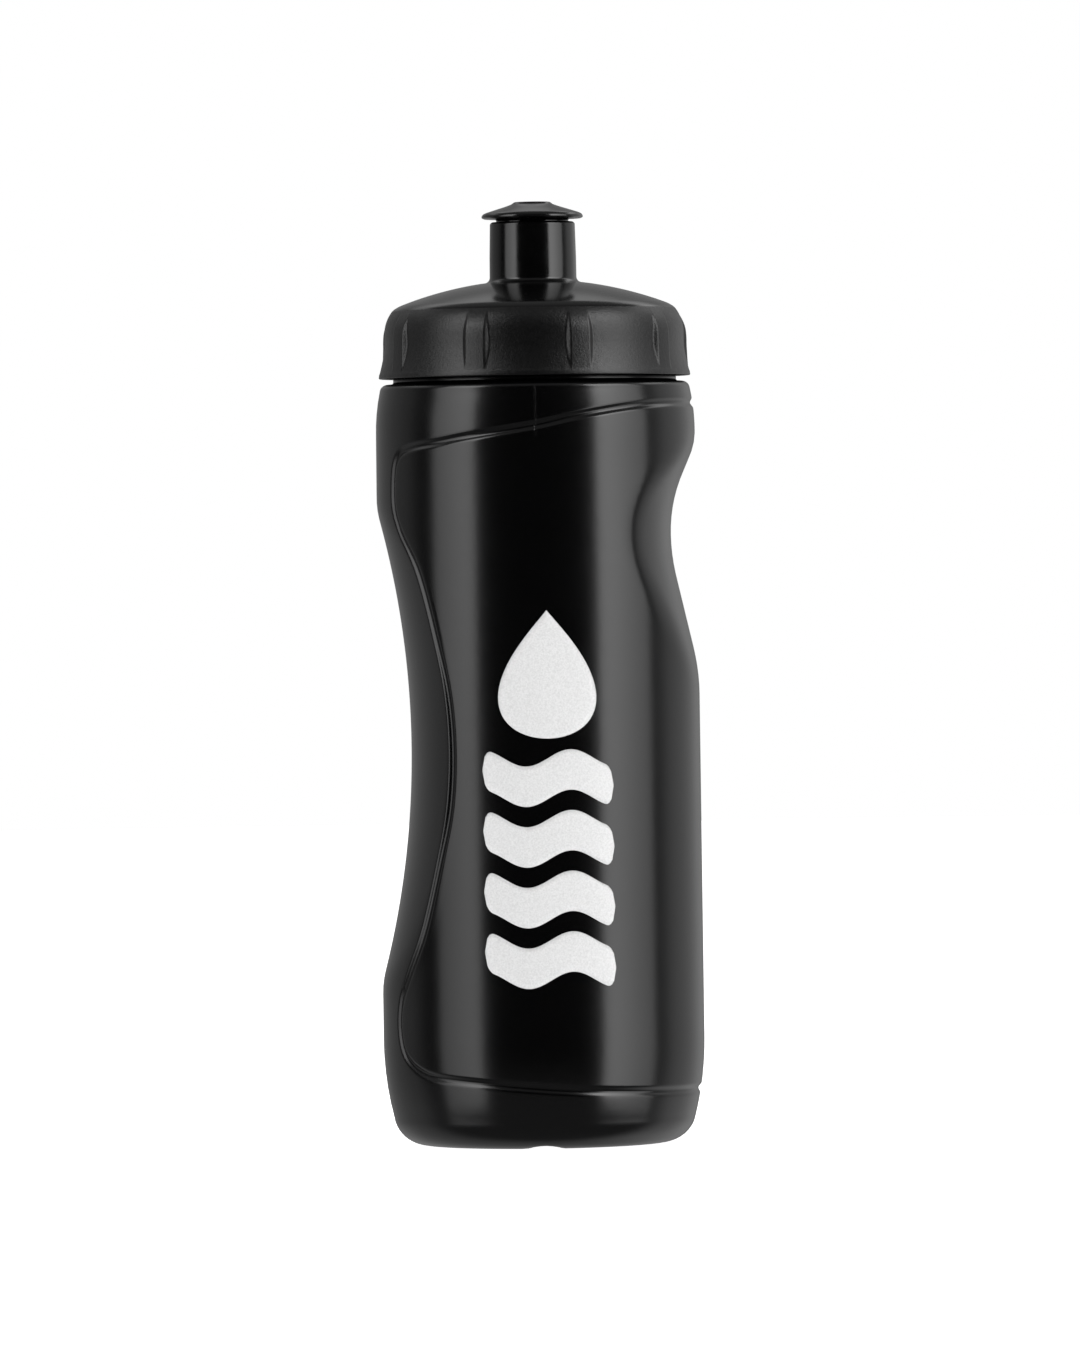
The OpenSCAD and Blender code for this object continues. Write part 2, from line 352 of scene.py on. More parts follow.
def piece(name, bm, material, body, slot, *nodes):
    """Makes the finished object, smooth, riding on its body and standing for its CAD nodes."""
    mesh = bpy.data.meshes.new(name)
    for face in bm.faces:
        face.smooth = True
    bm.to_mesh(mesh)
    bm.free()
    mesh.materials.append(material)
    made = bpy.data.objects.new(name, mesh)
    bpy.context.scene.collection.objects.link(made)
    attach(made, body)
    if nodes:
        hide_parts(*nodes)
    return made


# ---------------------------------------------------------------- nodes that materials and lights share


def new_material(name):
    """An empty material with one shader."""
    material = bpy.data.materials.new(name)
    material.use_nodes = True
    nodes = material.node_tree.nodes
    nodes.clear()
    shader = nodes.new("ShaderNodeBsdfPrincipled")
    output = nodes.new("ShaderNodeOutputMaterial")
    material.node_tree.links.new(shader.outputs["BSDF"], output.inputs["Surface"])
    return material, material.node_tree, shader


def noise(tree, scale, detail=2.0, roughness=0.5):
    """A noise in the piece's own coordinates. The scale counts its cells in a metre."""
    place = tree.nodes.new("ShaderNodeTexCoord")
    texture = tree.nodes.new("ShaderNodeTexNoise")
    texture.inputs["Scale"].default_value = scale
    texture.inputs["Detail"].default_value = detail
    texture.inputs["Roughness"].default_value = roughness
    tree.links.new(place.outputs["Object"], texture.inputs["Vector"])
    return texture.outputs["Fac"]


def remap(tree, value, start, end, low, high, change):
    """Turns the range from start to end of a value into the one from low to high."""
    node = tree.nodes.new("ShaderNodeMapRange")
    node.interpolation_type = change
    node.inputs["From Min"].default_value = start
    node.inputs["From Max"].default_value = end
    node.inputs["To Min"].default_value = low
    node.inputs["To Max"].default_value = high
    tree.links.new(value, node.inputs["Value"])
    return node.outputs["Result"]


def spread(tree, value, low, high):
    """Stretches a noise, which keeps near its middle, to run from low to high."""
    return remap(tree, value, 0.3, 0.7, low, high, "LINEAR")


def fade(tree, value, start, end, low, high):
    """A soft change from low to high while a value goes from start to end."""
    return remap(tree, value, start, end, low, high, "SMOOTHSTEP")


def combine(tree, operation, a, b):
    """One value from two."""
    node = tree.nodes.new("ShaderNodeMath")
    node.operation = operation
    tree.links.new(a, node.inputs[0])
    tree.links.new(b, node.inputs[1])
    return node.outputs["Value"]


def split(tree, coordinates):
    """The three parts of the named coordinates."""
    place = tree.nodes.new("ShaderNodeTexCoord")
    parts = tree.nodes.new("ShaderNodeSeparateXYZ")
    tree.links.new(place.outputs[coordinates], parts.inputs["Vector"])
    return parts.outputs


def bump(tree, height, distance, strength=1.0, over=None):
    """A fine relief, which may lie over a coarser one."""
    node = tree.nodes.new("ShaderNodeBump")
    node.inputs["Distance"].default_value = distance
    node.inputs["Strength"].default_value = strength
    tree.links.new(height, node.inputs["Height"])
    if over:
        tree.links.new(over, node.inputs["Normal"])
    return node.outputs["Normal"]


# ---------------------------------------------------------------- materials


def plain_plastic(name, colour):
    """Plastic of one colour, before its skin gets its finish."""
    material, tree, shader = new_material(name)
    shader.inputs["Base Color"].default_value = (*colour, 1)
    shader.inputs["IOR"].default_value = 1.5
    return material, tree, shader


def blown_plastic(colour):
    """Soft blown plastic: a satin skin with faint orange peel and a fine matt tooth."""
    material, tree, shader = plain_plastic("blown_plastic", colour)
    tree.links.new(spread(tree, noise(tree, 180, 3), 0.2, 0.215), shader.inputs["Roughness"])
    peel = bump(tree, noise(tree, 320, 1), 0.000008)
    tree.links.new(bump(tree, noise(tree, 3500, 2), 0.000006, 0.6, peel), shader.inputs["Normal"])
    return material


def gloss_plastic(colour, name="gloss_plastic"):
    """Polished moulded plastic with a trace of flow in its skin."""
    material, tree, shader = plain_plastic(name, colour)
    tree.links.new(spread(tree, noise(tree, 260, 3), 0.16, 0.19), shader.inputs["Roughness"])
    tree.links.new(bump(tree, noise(tree, 420, 2), 0.000008), shader.inputs["Normal"])
    return material


def textured_plastic(colour):
    """Moulded plastic with a fine eroded grain, for the skirt that the hand turns."""
    material, tree, shader = plain_plastic("textured_plastic", colour)
    tree.links.new(spread(tree, noise(tree, 900, 3), 0.33, 0.38), shader.inputs["Roughness"])
    coarse = bump(tree, noise(tree, 1700, 3, 0.7), 0.00009, 0.8)
    tree.links.new(bump(tree, noise(tree, 4200, 2), 0.00002, 0.6, coarse), shader.inputs["Normal"])
    return material


def white_ink(colour):
    """Screen-printed ink: white, a little thin and mottled."""
    material, tree, shader = new_material("white_ink")
    ramp = tree.nodes.new("ShaderNodeValToRGB")
    thin, full = ramp.color_ramp.elements
    thin.position = 0.35
    thin.color = (*[c * 0.82 for c in colour], 1)
    full.position = 0.62
    full.color = (*colour, 1)
    tree.links.new(noise(tree, 2400, 4, 0.7), ramp.inputs["Fac"])
    tree.links.new(ramp.outputs["Color"], shader.inputs["Base Color"])
    shader.inputs["Roughness"].default_value = 0.38
    tree.links.new(bump(tree, noise(tree, 2400, 3), 0.00001), shader.inputs["Normal"])
    return material


def soft_rubber():
    """Pale seal rubber, dull and slightly mottled."""
    material, tree, shader = new_material("soft_rubber")
    shader.inputs["Base Color"].default_value = (0.7, 0.7, 0.68, 1)
    tree.links.new(spread(tree, noise(tree, 900, 3), 0.5, 0.65), shader.inputs["Roughness"])
    tree.links.new(bump(tree, noise(tree, 2500, 2), 0.00002), shader.inputs["Normal"])
    return material


# ---------------------------------------------------------------- the bottle's form


def smooth_line(points):
    """A smooth line through a few points, with the same number of steps between each two."""
    p = np.array([points[0]] + list(points) + [points[-1]], float)
    t = np.linspace(0, 1, LINE_STEPS, endpoint=False)[:, None]
    out = []
    for a, b, c, d in zip(p, p[1:], p[2:], p[3:]):
        square, cube = 2 * a - 5 * b + 4 * c - d, 3 * b - a - 3 * c + d
        out.append(0.5 * (2 * b + (c - a) * t + square * t**2 + cube * t**3))
    return np.concatenate(out + [p[-1:]])


def soft_min(a, b, blend):
    """The lower of two values, eased where they are closer than the blend."""
    near = np.clip(blend - abs(a - b), 0, None) / blend
    return np.minimum(a, b) - near * near * blend / 4


def flank(t, curve, reach):
    """Rise of a curve that runs on as a straight slope past its reach."""
    bend = curve - np.sqrt(curve**2 - np.clip(t, 0, reach) ** 2)
    return bend + reach / math.sqrt(curve**2 - reach**2) * np.clip(t - reach, 0, 60)


def turned_about(limb, offset, angle):
    """Radius from the bottle's axis of a round form whose own axis stands off it by the offset."""
    return offset * np.cos(angle) + np.sqrt((limb + abs(offset)) ** 2 - (offset * np.sin(angle)) ** 2)


class BottleForm:
    """Where the bottle's skin lies, by angle from +X in degrees and height in millimetres."""

    def __init__(self, settings):
        self.radius = settings.radius / MM
        self.upper = settings.upper_radius / MM
        self.thumb_height = settings.thumb_height / MM
        self.thumb_waist = settings.thumb_waist / MM
        self.finger_height = settings.finger_height / MM
        self.finger_waist = settings.finger_waist / MM
        self.groove_depth = settings.groove_depth / MM
        self.groove_half = settings.groove_width / MM / 2
        self.path = smooth_line(GROOVE_LINE)
        self.top = self.path[: TOP_CORNER * LINE_STEPS + 1]
        self.side = self.path[TOP_CORNER * LINE_STEPS : FOOT_CORNER * LINE_STEPS + 1][::-1]
        self.foot = self.path[FOOT_CORNER * LINE_STEPS :][::-1]

    def top_line(self, angle):
        return np.interp(angle, self.top[:, 0], self.top[:, 1])

    def foot_line(self, angle):
        return np.interp(angle, self.foot[:, 0], self.foot[:, 1])

    def side_line(self, height):
        return np.interp(height, self.side[:, 1], self.side[:, 0])

    def outline(self, z):
        """Radius of the round body before its grips: a flared foot, a slight taper and a long shoulder."""
        lower = self.radius - 72.3 + np.sqrt(72.3**2 - np.clip(24 - z, 0, 30) ** 2)
        taper = (self.radius - self.upper) * np.clip((z - 105) / 59, 0, 1)
        shoulder = 45.8 - np.sqrt(45.8**2 - np.clip(z - 164, 0, 20) ** 2)
        return lower - taper - shoulder

    def thumb(self, angle, z):
        """Radius of the long grip, which is a tighter round towards its ends."""
        rise = np.clip(z - self.thumb_height, -62, 62)
        curve = np.where(rise > 0, 208, 202.5)
        limb = self.thumb_waist + curve - np.sqrt(curve**2 - rise**2)
        offset = 26.5 - 15.5 * np.clip(abs(rise) / 50, 0, 1.1) ** 3
        return turned_about(limb, offset, angle)

    def finger(self, angle, z):
        """Radius of the short grip."""
        over = z - self.finger_height
        limb = self.finger_waist + flank(over, 34, 13.5) + flank(-over, 45, 10)
        return turned_about(limb, -23.5, angle)

    def skin(self, degrees, z, inset=0.0):
        """Radius of the skin, with soft edges round the grips."""
        angle = np.radians(degrees)
        radius = soft_min(self.outline(z), self.thumb(angle, z), 0.7)
        return soft_min(radius, self.finger(angle, z), 1.2) - inset

    def groove(self, degrees, z):
        """Depth of the groove at a place on the skin."""
        s = np.radians(degrees) * self.radius
        nearest = np.full(np.shape(s), 1e9)
        unrolled = np.column_stack([np.radians(self.path[:, 0]) * self.radius, self.path[:, 1]])
        for (s0, z0), (s1, z1) in zip(unrolled, unrolled[1:]):
            ds, dz = s1 - s0, z1 - z0
            t = np.clip(((s - s0) * ds + (z - z0) * dz) / (ds * ds + dz * dz), 0, 1)
            nearest = np.minimum(nearest, np.hypot(s - s0 - t * ds, z - z0 - t * dz))
        across = np.clip(nearest / self.groove_half, 0, 1)
        return self.groove_depth * 0.5 * (1 + np.cos(math.pi * across))


def bottle_rings(shoulder):
    """Rings from the middle of the base, out and up the wall, over the rim, and down inside to the middle.

    A base or plain ring gives its radius and height, an inside ring its height, and a skin ring its place
    between the stops up the wall.
    """
    base = rounded(
        [(0, PUSH_UP), (12, PUSH_UP - 0.3), (20, PUSH_UP - 1.1), (22.5, 0.6), (23.6, 0), (RING_RADIUS, 0)],
        1.2, 3)[:-1]
    base += arc(RING_RADIUS, FOOT_ROUND, FOOT_ROUND, -90, -16, 12)
    corner = arc(33.95, 173.4, 1.8, 12.4, 90, 7)
    collar_foot = (COLLAR_RADIUS + 0.4, shoulder)
    neck = line(corner[-1], collar_foot, 1) + rounded(
        [collar_foot, (COLLAR_RADIUS, shoulder + 0.3), (COLLAR_RADIUS, shoulder + 1.4),
         (NECK_RADIUS, shoulder + 2.2), (NECK_RADIUS, RIM_HEIGHT - 0.35), (NECK_RADIUS - 0.4, RIM_HEIGHT),
         (MOUTH_RADIUS + 0.4, RIM_HEIGHT), (MOUTH_RADIUS, RIM_HEIGHT - 0.35), (MOUTH_RADIUS, 174.4),
         (MOUTH_RADIUS + 0.6, 173.8)], 0.4, 2)
    floor = arc(RING_RADIUS, FOOT_ROUND, 6.0, -14, -90, 5) + [(23.6, 1.5), (21, 3.4), (12, 4.6), (0, 4.9)]
    return (
        [("base", *p) for p in base]
        + [("skin", place, 0) for place in stretches(4, 18, 71, 18, 5)]
        + [("plain", *p) for p in corner + neck]
        + [("inside", height, 0) for height in np.linspace(170.5, 9, 34)]
        + [("plain", *p) for p in floor])


def bottle_shell(settings):
    """The blown shell: a spun lattice whose rings and columns follow the groove, drawn in to the grips."""
    form = BottleForm(settings)
    rings = bottle_rings(settings.shoulder_height / MM)
    # Columns: half a turn from +X to -X over the front, and its mirror image.
    half = stretches(41, 6, 16, 18, 16)
    columns = np.concatenate([half, half[-2:0:-1]])
    side = np.concatenate([np.ones(len(half)), -np.ones(len(half) - 2)])
    count = len(columns)

    def level(height):
        return np.full(count, float(height))

    def column_angles(heights):
        """Each column's angle at its own height. Columns gather at the parting line and the groove."""
        return np.array([
            np.interp(u, range(6), [0, SEAM_ANGLE - 0.8, SEAM_ANGLE + 0.8, edge - 4.2, edge + 4.2, 180])
            for u, edge in zip(columns, form.side_line(heights))])

    def ring_height(place, degrees):
        """A skin ring's height at each angle. Rings gather along the groove's top and foot."""
        foot, top = form.foot_line(degrees), form.top_line(degrees)
        stops = [
            level(SKIN_FOOT), foot - GROOVE_BAND, foot + GROOVE_BAND, top - GROOVE_BAND, top + GROOVE_BAND,
            level(SKIN_TOP)]
        low = min(int(place), 4)
        return stops[low] + (stops[low + 1] - stops[low]) * (place - low)

    x, y, z = (np.zeros((len(rings), count)) for _ in range(3))
    for i, (kind, a, b) in enumerate(rings):
        if kind == "skin":
            # A ring's height and its columns' angles depend on each other, so each is found twice.
            guess = column_angles(ring_height(a, level(150)))
            degrees = column_angles(ring_height(a, guess))
            height = ring_height(a, degrees)
            near_seam = np.clip(1 - abs(degrees - SEAM_ANGLE) / SEAM_HALF, 0, 1)
            seam = SEAM_RISE * near_seam * np.clip(height - SEAM_FROM, 0, 1)
            radius = form.skin(degrees, height) - form.groove(degrees, height) + seam
        elif kind == "inside":
            height = level(a)
            degrees = column_angles(np.clip(height, 20, 160))
            radius = form.skin(degrees, height, settings.wall / MM)
        else:
            radius, height = level(a), level(b)
            degrees = column_angles(level(20 if kind == "base" else 160))
        angle = np.radians(degrees)
        x[i], y[i], z[i] = radius * np.cos(angle), -side * radius * np.sin(angle), height
        if kind == "base":
            # The relief under the parting line crosses the standing ring.
            relief = np.sqrt(np.clip(RELIEF_RADIUS**2 - x[i] ** 2, 0, None)) - RELIEF_RADIUS + RELIEF_HEIGHT
            z[i] = np.maximum(z[i], np.where(abs(x[i]) < RELIEF_HALF, relief, -1))
    bm = lattice(len(rings), count)
    shaped(bm, count, x, y, z)
    return joined(bm, thread(NECK_RADIUS - 0.3, 32.9, 2.5, 1.0, 180.0, 1.4))


# ---------------------------------------------------------------- the print's form


def lay_on_skin(form, bm, flat):
    """Bends a flat shape, which flat() gives across and up, on to the skin and gives it its thickness."""
    for v in bm.verts:
        across, up = flat(v.co)
        degrees = 90 - math.degrees((PRINT_MIDDLE + across) / form.radius)
        radius = float(form.skin(np.array(degrees), np.array(up))) + PRINT_PROUD
        a = math.radians(degrees)
        v.co = (radius * math.cos(a) * MM, -radius * math.sin(a) * MM, up * MM)
    bmesh.ops.recalc_face_normals(bm, faces=bm.faces)
    if sum(f.normal.y for f in bm.faces) > 0:
        bmesh.ops.reverse_faces(bm, faces=bm.faces)
    bmesh.ops.solidify(bm, geom=bm.faces, thickness=PRINT_THICKNESS * MM)
    return bm


def wave(form, level):
    """One wavy bar with rounded ends."""
    bar = bmesh.new()
    bmesh.ops.create_grid(bar, x_segments=56, y_segments=8, size=1)

    def flat(co):
        end = max(0.0, abs(co.x) - 0.86) / 0.14
        half = 4.6 * math.sqrt(max(0.0, 1 - end * end)) * 0.93 + 0.32
        return co.x * PRINT_WIDTH / 2, level + co.y * half + 1.9 * math.sin(co.x * math.pi * 1.5)

    return lay_on_skin(form, bar, flat)


def teardrop(form):
    """A drop with its point up."""
    drop = bmesh.new()
    bmesh.ops.create_circle(drop, cap_ends=True, cap_tris=True, segments=72, radius=1)
    bmesh.ops.subdivide_edges(
        drop, edges=[e for e in drop.edges if not e.is_boundary], cuts=9, use_grid_fill=True)

    def flat(co):
        t, r = math.atan2(co.x, co.y), math.hypot(co.x, co.y)
        wide = 15.2 * math.sin(t) * abs(math.sin(t / 2)) ** 1.15
        return wide * r, DROP_HEIGHT + (14.6 * math.cos(t) + 3.0) * r

    return lay_on_skin(form, drop, flat)


# ---------------------------------------------------------------- the cap's form


def dome(r, inset=0.0):
    """Height of the cap's dome, or of its inside, at a distance from the axis."""
    return DOME_CENTRE + math.sqrt((DOME_RADIUS - inset) ** 2 - r * r)


def skirt_at(skirt, z):
    """Radius of the skirt in its hollows: flared at the foot and rounded over at the top."""
    if z > CAP_ROUND_FROM:
        return skirt - CAP_ROUND + math.sqrt(CAP_ROUND**2 - (z - CAP_ROUND_FROM) ** 2)
    return skirt + FLARE_OUT * (max(0.0, FLARE_FROM - z) / FLARE_HEIGHT) ** 1.5


def cap_outline(skirt, tower):
    """The cap's outline from its lower edge, up outside and down inside, and which points have pads."""
    foot = tower + 1.3
    low = CAP_EDGE
    edge = rounded(
        [(34.4, low), (skirt_at(skirt, low) - 0.1, low), (skirt_at(skirt, low + 1) + 0.05, low + 1)], 0.35, 3)
    side = [(skirt_at(skirt, z), z) for z in np.linspace(low + 1.3, 191.2, 34)]
    crown = rounded([side[-1], (32.5, 192.3), (31.05, dome(31.05)), (28.5, dome(28.5))], 0.8, 4)[1:]
    crown += [(r, dome(r)) for r in np.linspace(27.5, foot + 2.2, 14)]
    stalk = arc(foot, dome(foot) + 1.3, 1.3, -100, -180, 7) + line((tower, 203), (tower - 0.2, 211.3), 7)
    stalk += rounded(
        [(tower - 0.2, TOWER_HEIGHT - 0.8), (tower - 0.22, TOWER_HEIGHT - 0.4), (tower - 0.7, TOWER_HEIGHT),
         (TOWER_LIP + 0.5, TOWER_HEIGHT), (TOWER_LIP, TOWER_HEIGHT - 0.5), (TOWER_LIP, TOWER_HEIGHT - 1.5),
         (TOWER_BORE, TOWER_HEIGHT - 1.6), (TOWER_BORE, 206)], 0.25, 3)
    inner = [(TOWER_BORE, 200), (TOWER_BORE, 197)]
    inner += [(r, dome(r, CAP_WALL)) for r in np.linspace(9.2, 26.4, 8)]
    inner += [
        (28, SEAT_HEIGHT), (SEAT_RADIUS, SEAT_HEIGHT), (SEAT_RADIUS, 187.4), (THREAD_ROOM, 187),
        (THREAD_ROOM, 182), (THREAD_ROOM, 178.2), (34.2, low + 0.1)]
    padded = range(len(edge), len(edge) + len(side) + 4)
    return edge + side + crown + stalk + inner + edge[:1], padded


def cap_shell(settings):
    """The cap: a spun lattice whose columns gather at the flanks of the pads, with its thread inside."""
    outline, padded = cap_outline(settings.skirt_radius / MM, settings.tower_radius / MM)
    half, period = math.degrees(settings.pad_angle) / 2, 360 / settings.pads
    # Columns over the pad, down its flank, across the hollow and up the next pad's flank.
    stops = np.concatenate([
        np.linspace(-half + 0.5, half - 0.5, 4),
        np.linspace(half - 0.2, half + 2.6, 9),
        np.linspace(half + 4, period - half - 4, 9),
        np.linspace(period - half - 2.6, period - half + 0.2, 9)])
    first = math.degrees(settings.pad_turn) - 90 + period / 2
    angle = np.radians(np.concatenate([first + k * period + stops for k in range(settings.pads)]))
    from_pad = np.abs((np.concatenate([stops] * settings.pads) + period / 2) % period - period / 2)
    columns = len(angle)
    x, y, z = (np.zeros((len(outline), columns)) for _ in range(3))
    for i, (r, h) in enumerate(outline):
        radius = np.full(columns, r)
        if i in padded:
            # The pads fade out over the skirt's lower edge and its shoulder.
            swell = max(0.0, 1 - ((h - PAD_MIDDLE) / PAD_REACH) ** 2) ** 1.5
            down = np.clip((from_pad - half) / (0.4 + 1.3 * swell), 0, 1)
            radius = radius + settings.pad_height / MM * swell * (1 - down)
        x[i], y[i], z[i] = radius * np.cos(angle), radius * np.sin(angle), h
    bm = lattice(len(outline), columns)
    shaped(bm, columns, x, y, z)
    return joined(bm, thread(THREAD_ROOM + 0.3, 32.0, 2.4, 0.8, 178.25, 1.25))


def centre_pin():
    """The fixed pin that shuts the spout, on its web of arms."""
    web_top = WEB_FOOT + WEB_HEIGHT
    parts = [turned(
        [(0, WEB_FOOT)] + rounded(
            [(0.5, WEB_FOOT), (3, WEB_FOOT), (3, web_top), (2.4, web_top + 0.8), (2.3, PIN_HEAD - 2.8),
             (3.35, PIN_HEAD - 1.8), (3.35, PIN_HEAD + 0.1), (2.75, PIN_HEAD + 0.55), (1.6, PIN_HEAD + 0.72)],
            0.3, 3) + [(0, PIN_HEAD + 0.78)], 48)]
    for k in range(WEB_ARMS):
        arm = bmesh.new()
        bmesh.ops.create_cube(arm, size=1)
        bmesh.ops.scale(arm, vec=(8.1 * MM, 1.6 * MM, WEB_HEIGHT * MM), verts=arm.verts)
        bmesh.ops.translate(arm, vec=(5.15 * MM, 0, (WEB_FOOT + WEB_HEIGHT / 2) * MM), verts=arm.verts)
        bmesh.ops.bevel(
            arm, geom=arm.edges, offset=0.25 * MM, segments=2, profile=0.5, affect="EDGES", material=-1)
        a = math.radians(90 + 360 * k / WEB_ARMS)
        for v in arm.verts:
            along, across = v.co.xy
            v.co.x = along * math.cos(a) - across * math.sin(a)
            v.co.y = along * math.sin(a) + across * math.cos(a)
        parts.append(arm)
    return joined(*parts)


# ---------------------------------------------------------------- the stage


def stage_piece(name, bm, material):
    """A piece of the stage."""
    mesh = bpy.data.meshes.new(name)
    bm.to_mesh(mesh)
    bm.free()
    mesh.materials.append(material)
    made = bpy.data.objects.new(name, mesh)
    bpy.context.scene.collection.objects.link(made)
    return made


def lay_floor():
    """A pale floor, which lets the camera through from below."""
    material, tree, shader = new_material("pale_floor")
    shader.inputs["Base Color"].default_value = (0.9, 0.9, 0.9, 1)
    shader.inputs["Roughness"].default_value = 0.9
    shader.inputs["Emission Color"].default_value = (1, 1, 1, 1)
    shader.inputs["Emission Strength"].default_value = 1.05
    side = tree.nodes.new("ShaderNodeNewGeometry")
    through = tree.nodes.new("ShaderNodeBsdfTransparent")
    either = tree.nodes.new("ShaderNodeMixShader")
    tree.links.new(side.outputs["Backfacing"], either.inputs["Fac"])
    tree.links.new(shader.outputs["BSDF"], either.inputs[1])
    tree.links.new(through.outputs["BSDF"], either.inputs[2])
    tree.links.new(either.outputs["Shader"], tree.nodes["Material Output"].inputs["Surface"])
    bm = bmesh.new()
    bmesh.ops.create_circle(bm, cap_ends=True, segments=96, radius=3.0)
    floor = stage_piece("floor", bm, material)
    floor.location.z = -0.0002
    floor.visible_glossy = False


def light_room(scene):
    """A white background for the camera, and a darker room for everything else."""
    world = bpy.data.worlds.new("studio")
    scene.world = world
    world.use_nodes = True
    tree = world.node_tree
    tree.nodes.clear()
    output = tree.nodes.new("ShaderNodeOutputWorld")
    white = tree.nodes.new("ShaderNodeBackground")
    white.inputs["Color"].default_value = (1, 1, 1, 1)
    room = tree.nodes.new("ShaderNodeBackground")
    room.inputs["Color"].default_value = (1, 1, 1, 1)
    seen = tree.nodes.new("ShaderNodeLightPath")
    mix = tree.nodes.new("ShaderNodeMixShader")
    tree.links.new(seen.outputs["Is Camera Ray"], mix.inputs["Fac"])
    tree.links.new(room.outputs["Background"], mix.inputs[1])
    tree.links.new(white.outputs["Background"], mix.inputs[2])
    tree.links.new(mix.outputs["Shader"], output.inputs["Surface"])
    # The room is dark in front. Its back is dim low down, brighter on the right and brightest high up, and
    # the ground and the ceiling give a little light back.
    across, back, up = split(tree, "Generated")
    sides = combine(
        tree, "MULTIPLY", fade(tree, back, -0.1, 0.35, 0, 1), fade(tree, across, 0.1, 0.6, 0.27, 0.66))
    heights = combine(tree, "MULTIPLY", fade(tree, up, 0.44, 0.6, 1, 3), fade(tree, up, 0.64, 0.7, 1, 0))
    total = combine(tree, "MULTIPLY", sides, heights)
    total = combine(tree, "ADD", total, fade(tree, up, -0.4, -0.1, 0.14, 0))
    total = combine(tree, "ADD", total, fade(tree, up, 0.5, 0.8, 0, 0.2))
    tree.links.new(total, room.inputs["Strength"])


def hang_softbox(name, azimuth, width, full, outer, low):
    """An upright glowing face whose light falls off outwards and downwards."""
    material = bpy.data.materials.new(name)
    material.use_nodes = True
    tree = material.node_tree
    tree.nodes.clear()
    glow = tree.nodes.new("ShaderNodeEmission")
    output = tree.nodes.new("ShaderNodeOutputMaterial")
    across, _, up = split(tree, "Object")
    edge = math.copysign(width / 2, azimuth)
    outwards = fade(tree, across, -edge, edge, full, full * outer)
    falls = combine(tree, "MULTIPLY", outwards, fade(tree, up, 0.0, 0.2, low, 1))
    falls = combine(tree, "MULTIPLY", falls, fade(tree, up, 0.45, 1.1, 1, 1.7))
    tree.links.new(falls, glow.inputs["Strength"])
    tree.links.new(glow.outputs["Emission"], output.inputs["Surface"])
    bm = bmesh.new()
    corners = [
        (-width / 2, SOFTBOX_LOW), (width / 2, SOFTBOX_LOW), (width / 2, SOFTBOX_HIGH),
        (-width / 2, SOFTBOX_HIGH)]
    bm.faces.new([bm.verts.new((x, 0, z)) for x, z in corners])
    softbox = stage_piece(name, bm, material)
    turn = math.radians(azimuth)
    softbox.visible_camera = False
    softbox.rotation_euler.z = turn
    softbox.location = (SOFTBOX_DISTANCE * math.sin(turn), -SOFTBOX_DISTANCE * math.cos(turn), 0)


def hang_front_fill(scene, power):
    """A large weak lamp over the camera, which doesn't show in gloss."""
    lamp = bpy.data.lights.new("front_fill", "AREA")
    lamp.size = 1.2
    lamp.energy = power
    light = bpy.data.objects.new("front_fill", lamp)
    scene.collection.objects.link(light)
    light.location = (0.1, -1.2, 0.35)
    light.rotation_euler = (Vector((0, 0, 0.12)) - light.location).to_track_quat("-Z", "Y").to_euler()
    light.visible_glossy = False


def place_camera(scene, settings):
    """The camera, level with the bottle and far off behind a long lens."""
    lens = bpy.data.cameras.new("camera")
    lens.lens = settings.lens
    lens.sensor_width = 36
    lens.clip_start = 0.05
    lens.clip_end = 20
    camera = bpy.data.objects.new("camera", lens)
    scene.collection.objects.link(camera)
    camera.location = (VIEW_SHIFT, -settings.camera_distance, settings.eye_height)
    aim = Vector((VIEW_SHIFT, 0, AIM_HEIGHT)) - camera.location
    camera.rotation_euler = aim.to_track_quat("-Z", "Y").to_euler()
    camera.rotation_euler.rotate_axis("Z", -settings.roll)
    scene.camera = camera


# ---------------------------------------------------------------- operators


class BuildBottle(bpy.types.Operator):
    """Builds the blown bottle with its grips, groove, neck and thread"""

    bl_idname = "squeeze_bottle.bottle"
    bl_label = "Bottle"

    def execute(self, context):
        settings = context.scene.bottle_settings
        skin = blown_plastic(settings.colour)
        piece("bottle_shell", bottle_shell(settings), skin, "bottle", "bottle", "bottle")
        return {"FINISHED"}


class BuildPrint(bpy.types.Operator):
    """Prints a plain drop over waves on the bottle's front"""

    bl_idname = "squeeze_bottle.print"
    bl_label = "Print"

    def execute(self, context):
        settings = context.scene.bottle_settings
        form = BottleForm(settings)
        shapes = [wave(form, level) for level in WAVE_HEIGHTS] + [teardrop(form)]
        piece("front_print", joined(*shapes), white_ink(settings.ink), "bottle", "bottle")
        return {"FINISHED"}


class BuildCap(bpy.types.Operator):
    """Builds the screw cap with its padded skirt, dome, tower, thread, web and centre pin"""

    bl_idname = "squeeze_bottle.cap"
    bl_label = "Screw cap"

    def execute(self, context):
        settings = context.scene.cap_settings
        skin = textured_plastic(settings.colour)
        cap = piece("cap_shell", cap_shell(settings), skin, "cap", "screw_cap", "screw_cap")
        # The dome, the tower and the inside are polished.
        cap.data.materials.append(gloss_plastic(settings.colour))
        corner_radius, corner_height = GLOSS_CORNER
        for face in cap.data.polygons:
            height, radius = face.center.z / MM, math.hypot(*face.center.xy) / MM
            if height > GLOSS_FROM or (height > corner_height and radius < corner_radius):
                face.material_index = 1
        pin_skin = gloss_plastic(settings.colour, "pin_plastic")
        piece("centre_pin", centre_pin(), pin_skin, "cap", "screw_cap")
        return {"FINISHED"}


